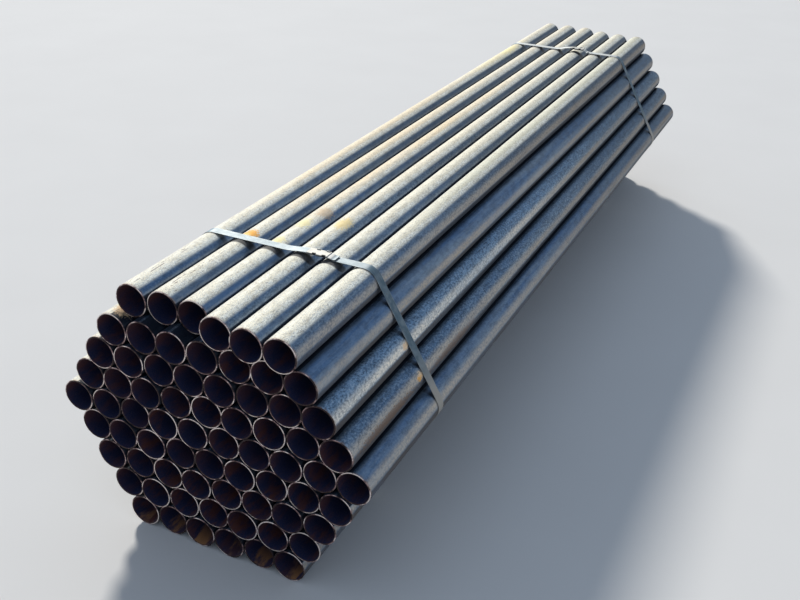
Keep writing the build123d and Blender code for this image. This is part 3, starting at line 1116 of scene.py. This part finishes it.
def strap(node, seal_node, material, crimp_shift, drift, top_bared_and_lit):
    """One strap, taut round the bundle, with its ends lapped and crimped in the seal."""
    low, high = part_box(node)
    seal_low, seal_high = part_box(seal_node)
    seal_x = (seal_low.x + seal_high.x) / 2
    lap_z = seal_low.z + SEAL_WALL + SEAL_FIT
    half_width = (high.y - low.y) / 2
    outer_lanes = [*crimp_lanes(half_width), half_width - EDGE_LANE, half_width]
    lanes = [-lane for lane in reversed(outer_lanes)] + [0.0] + outer_lanes
    crimp_x = seal_x + crimp_shift
    stations = taut_stations(strap_route(seal_x, lap_z), crimp_x)
    lines = strap_lines(stations, lanes, seal_x, crimp_x, lap_z, (low.y + high.y) / 2, drift)
    cut = cut_cells([place.x for place, outward, lap in stations], lanes, crimp_x)
    cut = [(i, j) for i, j in cut if stations[i][2] and stations[i + 1][2]]
    edge = [1.0 if abs(lane) >= half_width - EDGE_LANE else 0.0 for lane in lanes]
    parts = MeshParts()
    parts.add_sheet(lines, STRAP_THICKNESS, cut, edge=edge)
    tail_start = seal_x + SEAL_LENGTH / 2 - BARED_TUCK
    parts.values["bared_and_lit"] = bareness_and_light(parts.points, lap_z, tail_start, top_bared_and_lit)
    dress(parts, node.replace("strap", "banding"), node, [material], SHEET_EDGE)


def seal_section(half_opening):
    """The sleeve's middle line, as (across, height, degrees), from one side of the seam to the other."""
    low = -SEAL_FIT - SEAL_WALL / 2
    high = LAP_HEIGHT + SEAL_FIT + SEAL_WALL / 2
    flat = half_opening + SEAL_WALL / 2 - SEAL_CORNER
    lanes = [SEAL_LANE, *crimp_lanes(flat)]
    half = [(across, low, -90) for across in (SEAL_SEAM / 2, *lanes, flat)]
    for centre, start in ((low + SEAL_CORNER, -90), (high - SEAL_CORNER, 0)):
        for step in (30, 60, 90):
            angle = math.radians(start + step)
            across = flat + SEAL_CORNER * math.cos(angle)
            half.append((across, centre + SEAL_CORNER * math.sin(angle), start + step))
        if start == -90:
            half.append((flat + SEAL_CORNER, high - SEAL_CORNER, 0))
    half += [(lane, high, 90) for lane in reversed(lanes)]
    left = [(-across, height, 180 - angle) for across, height, angle in half]
    return left + [(0.0, high, 90)] + list(reversed(half))


# A small step along a surface's normal, to find which way the surface faces once it is bent
NUDGE = 1e-5


def crimped(place, degrees, crimp_x):
    """Where the crimp takes a point of the sleeve, and which way the sleeve faces there."""
    x, across, height = place
    angle = math.radians(degrees)
    normal = Vector((0, math.cos(angle), math.sin(angle)))
    bent = bend_up(place, crimp_x)
    if bent != place:
        nudged = bend_up((x, across + normal.y * NUDGE, height + normal.z * NUDGE), crimp_x)
        normal = Vector((0, nudged[1] - bent[1], nudged[2] - bent[2])).normalized()
    return bent, normal


def seal(node, material, crimp_shift):
    """One seal: a folded sleeve, notched and bent up with the strap's ends inside it."""
    low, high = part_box(node)
    crimp_x = (low.x + high.x) / 2 + crimp_shift
    seal_y = (low.y + high.y) / 2
    lap_z = low.z + SEAL_WALL + SEAL_FIT
    section = seal_section(CRIMP_ROOT + CRIMP_DEPTH - SEAL_WALL)
    stops = clear_stops(even_stops(low.x, high.x, SEAL_STEP), crimp_edges(crimp_x), SEAL_CUT_GAP)
    lines = []
    under_fold_shade = []
    for x in stops:
        from_end = min(x - low.x, high.x - x)
        flare = SEAL_FLARE * max(0.0, 1 - from_end / FLARE_REACH) ** 2
        line = []
        for across, height, degrees in section:
            bent, normal = crimped((x, across, height), degrees, crimp_x)
            point = Vector((x, seal_y + bent[1], lap_z + bent[2]))
            if height > 0:
                point += normal * flare
            line.append((point, normal))
            turned_under = degrees % 360 >= 180 or degrees % 180 == 0
            share = CRIMP_SHADE_SHARE if bent[1] != across else FOLD_SHADE_SHARE
            under_fold_shade += [share if turned_under else 0.0] * 2
        lines.append(line)
    parts = MeshParts()
    lanes = [across for across, height, degrees in section]
    parts.add_sheet(lines, SEAL_WALL, cut_cells(stops, lanes, crimp_x))
    parts.values["under_fold_shade"] = under_fold_shade
    dress(parts, node.replace("seal", "crimped_seal"), node, [material], SHEET_EDGE)


def floor():
    """A plain pale floor, wide enough for every view."""
    finish = Finish("pale_floor", roughness=0.9)
    mottle = finish.noise(finish.coords, 3, detail=2)
    finish.give("Base Color", finish.mix(FLOOR_DARK, FLOOR_PALE, mottle))
    parts = MeshParts()
    corners = [(-1, -1), (1, -1), (1, 1), (-1, 1)]
    points = [(x * FLOOR_REACH, y * FLOOR_REACH, -FLOOR_DROP) for x, y in corners]
    parts.add_face(tuple(parts.add_point(point) for point in points))
    parts.to_object("floor", [finish.material])


def camera():
    """The photograph's viewpoint, turned from +Y towards -X, dipped and rolled."""
    data = bpy.data.cameras.new("camera")
    data.lens = CAMERA_LENS
    data.sensor_width = CAMERA_SENSOR
    made = add_object("camera", data)
    dipped = Matrix.Rotation(CAMERA_TURN, 4, "Z") @ Matrix.Rotation(math.pi / 2 - CAMERA_DIP, 4, "X")
    rolled = dipped @ Matrix.Rotation(CAMERA_ROLL, 4, "Z")
    made.matrix_world = Matrix.Translation(CAMERA_PLACE) @ rolled
    bpy.context.scene.camera = made


def lights():
    """A broad warm key from behind on the left, and a cool even fill from all round."""
    data = bpy.data.lights.new("key", "SUN")
    data.energy = KEY_STRENGTH
    data.angle = KEY_SPREAD
    data.color = KEY_COLOUR
    key = add_object("key", data)
    key.rotation_euler = KEY_FROM.to_track_quat("Z", "Y").to_euler()

    world = bpy.data.worlds.new("studio")
    world.use_nodes = True
    tree = world.node_tree
    background = tree.nodes["Background"]
    background.inputs["Strength"].default_value = SKY_STRENGTH
    coords = tree.nodes.new("ShaderNodeTexCoord")
    split = tree.nodes.new("ShaderNodeSeparateXYZ")
    ramp = tree.nodes.new("ShaderNodeValToRGB")
    low, high = ramp.color_ramp.elements
    low.color = (*SKY_LOW, 1)
    high.color = (*SKY_HIGH, 1)
    high.position = SKY_TURN
    tree.links.new(coords.outputs["Generated"], split.inputs[0])
    tree.links.new(split.outputs["Z"], ramp.inputs["Fac"])
    tree.links.new(ramp.outputs["Color"], background.inputs["Color"])
    bpy.context.scene.world = world
    bpy.context.scene.view_settings.view_transform = "Standard"


def main():
    camera()
    lights()
    floor()
    pipe_materials = [pipe_outside(), cut_end(), pipe_bore()]
    for number, node in enumerate(ROW_NODES):
        pipe_row(node, number, pipe_materials)
    banding = strap_finish()
    strap("strap_front", "seal_front", banding, FRONT_CRIMP_SHIFT, 0.0, FRONT_TOP_BARED_AND_LIT)
    strap("strap_back", "seal_back", banding, 0.0, BACK_TAIL_DRIFT, BACK_TOP_BARED_AND_LIT)
    zinc = seal_finish()
    seal("seal_front", zinc, FRONT_CRIMP_SHIFT)
    seal("seal_back", zinc, 0.0)


main()
